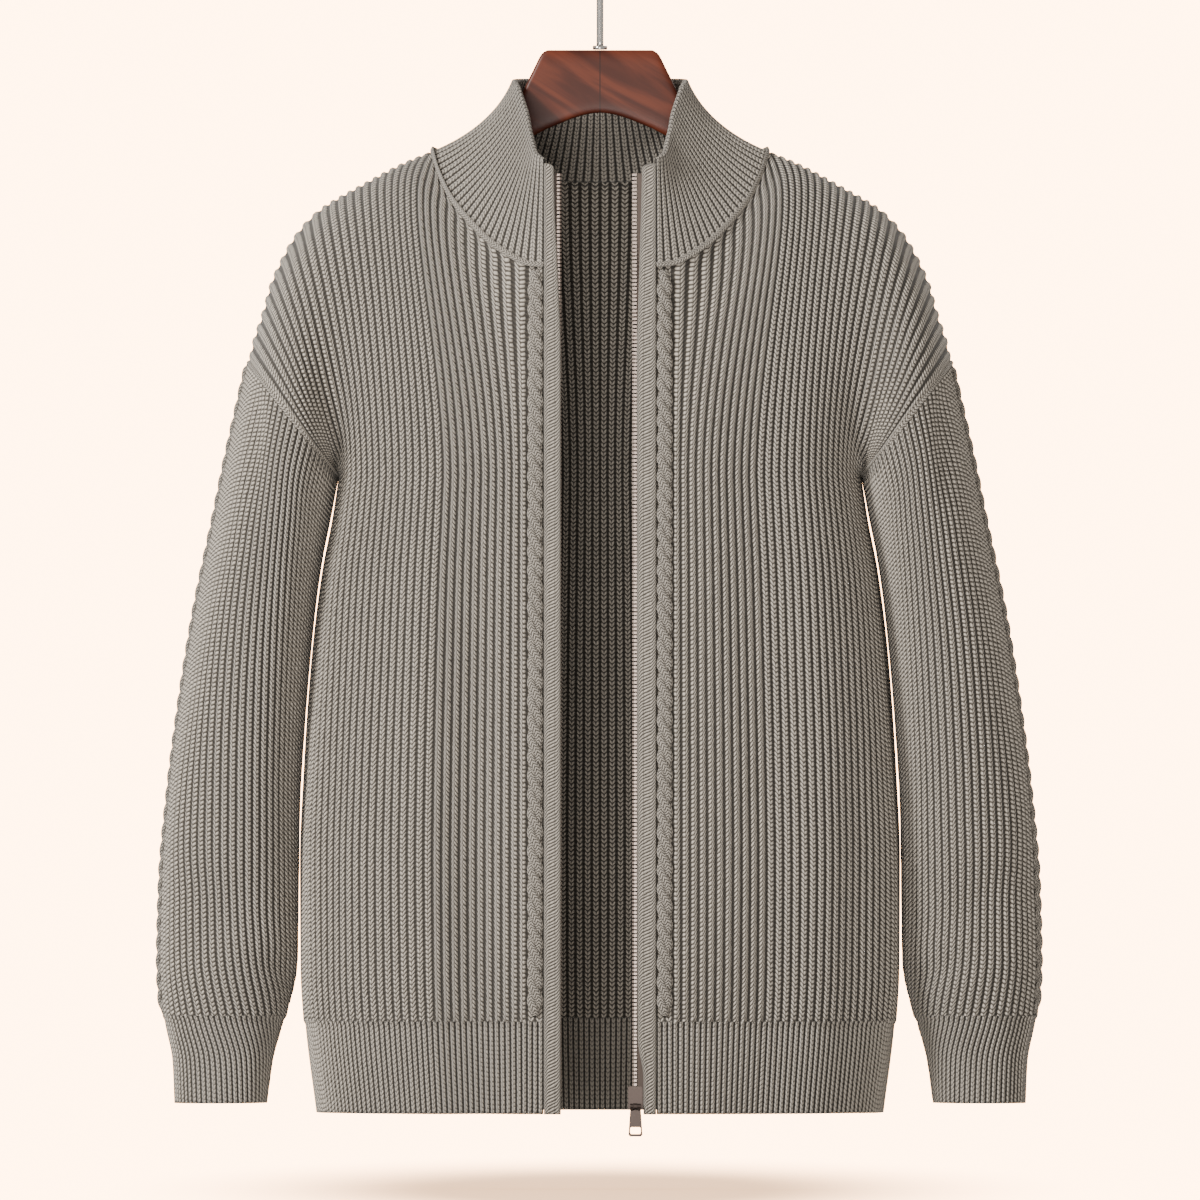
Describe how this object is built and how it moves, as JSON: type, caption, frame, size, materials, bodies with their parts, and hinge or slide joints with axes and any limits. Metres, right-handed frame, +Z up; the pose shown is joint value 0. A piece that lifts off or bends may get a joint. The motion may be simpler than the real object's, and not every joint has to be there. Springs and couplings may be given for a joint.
{
  "type": "zip-up cardigan on a wooden hanger",
  "caption": "Men's half-cardigan rib zip-up cardigan with stand-up collar and cables, unzipped and hanging on a wooden hanger with a steel hook.",
  "frame": {"origin": "inner crown of the hanger's hook, where it rests on a rail", "axes": "+Z up, front faces -Y, +X is the wearer's left"},
  "size_m": [0.6255, 0.1948, 0.86],
  "materials": {
    "knit": "matte half-cardigan rib, grey-green melange yarn",
    "band": "matte rolled knit band",
    "tape": "woven zip tape",
    "zip_metal": "brushed, dark mauve-grey",
    "hanger_wood": "glossy red-brown varnish",
    "steel": "polished"
  },
  "bodies": {
    "garment": {"front_right": "knit", "front_left": "knit", "back": "knit", "sleeve_right": "knit", "sleeve_left": "knit", "collar": "knit", "placket_right": "band", "placket_left": "band", "zip_tape_right": "tape", "zip_tape_left": "tape", "zip_teeth_right": "zip_metal", "zip_teeth_left": "zip_metal", "zip_pin": "zip_metal", "zip_box": "zip_metal", "zip_slider": "zip_metal", "hanger_wood": "hanger_wood", "hanger_hook": "steel"},
    "pull_tab": {"zip_pull": "zip_metal"}
  },
  "joints": [
    {"name": "pull_tab_swing", "type": "hinge", "parent": "garment", "child": "pull_tab", "pos_m": [0.025, -0.09499, -0.8338], "axis": [-1, 0, 0], "range_deg": [0, 150]}
  ]
}
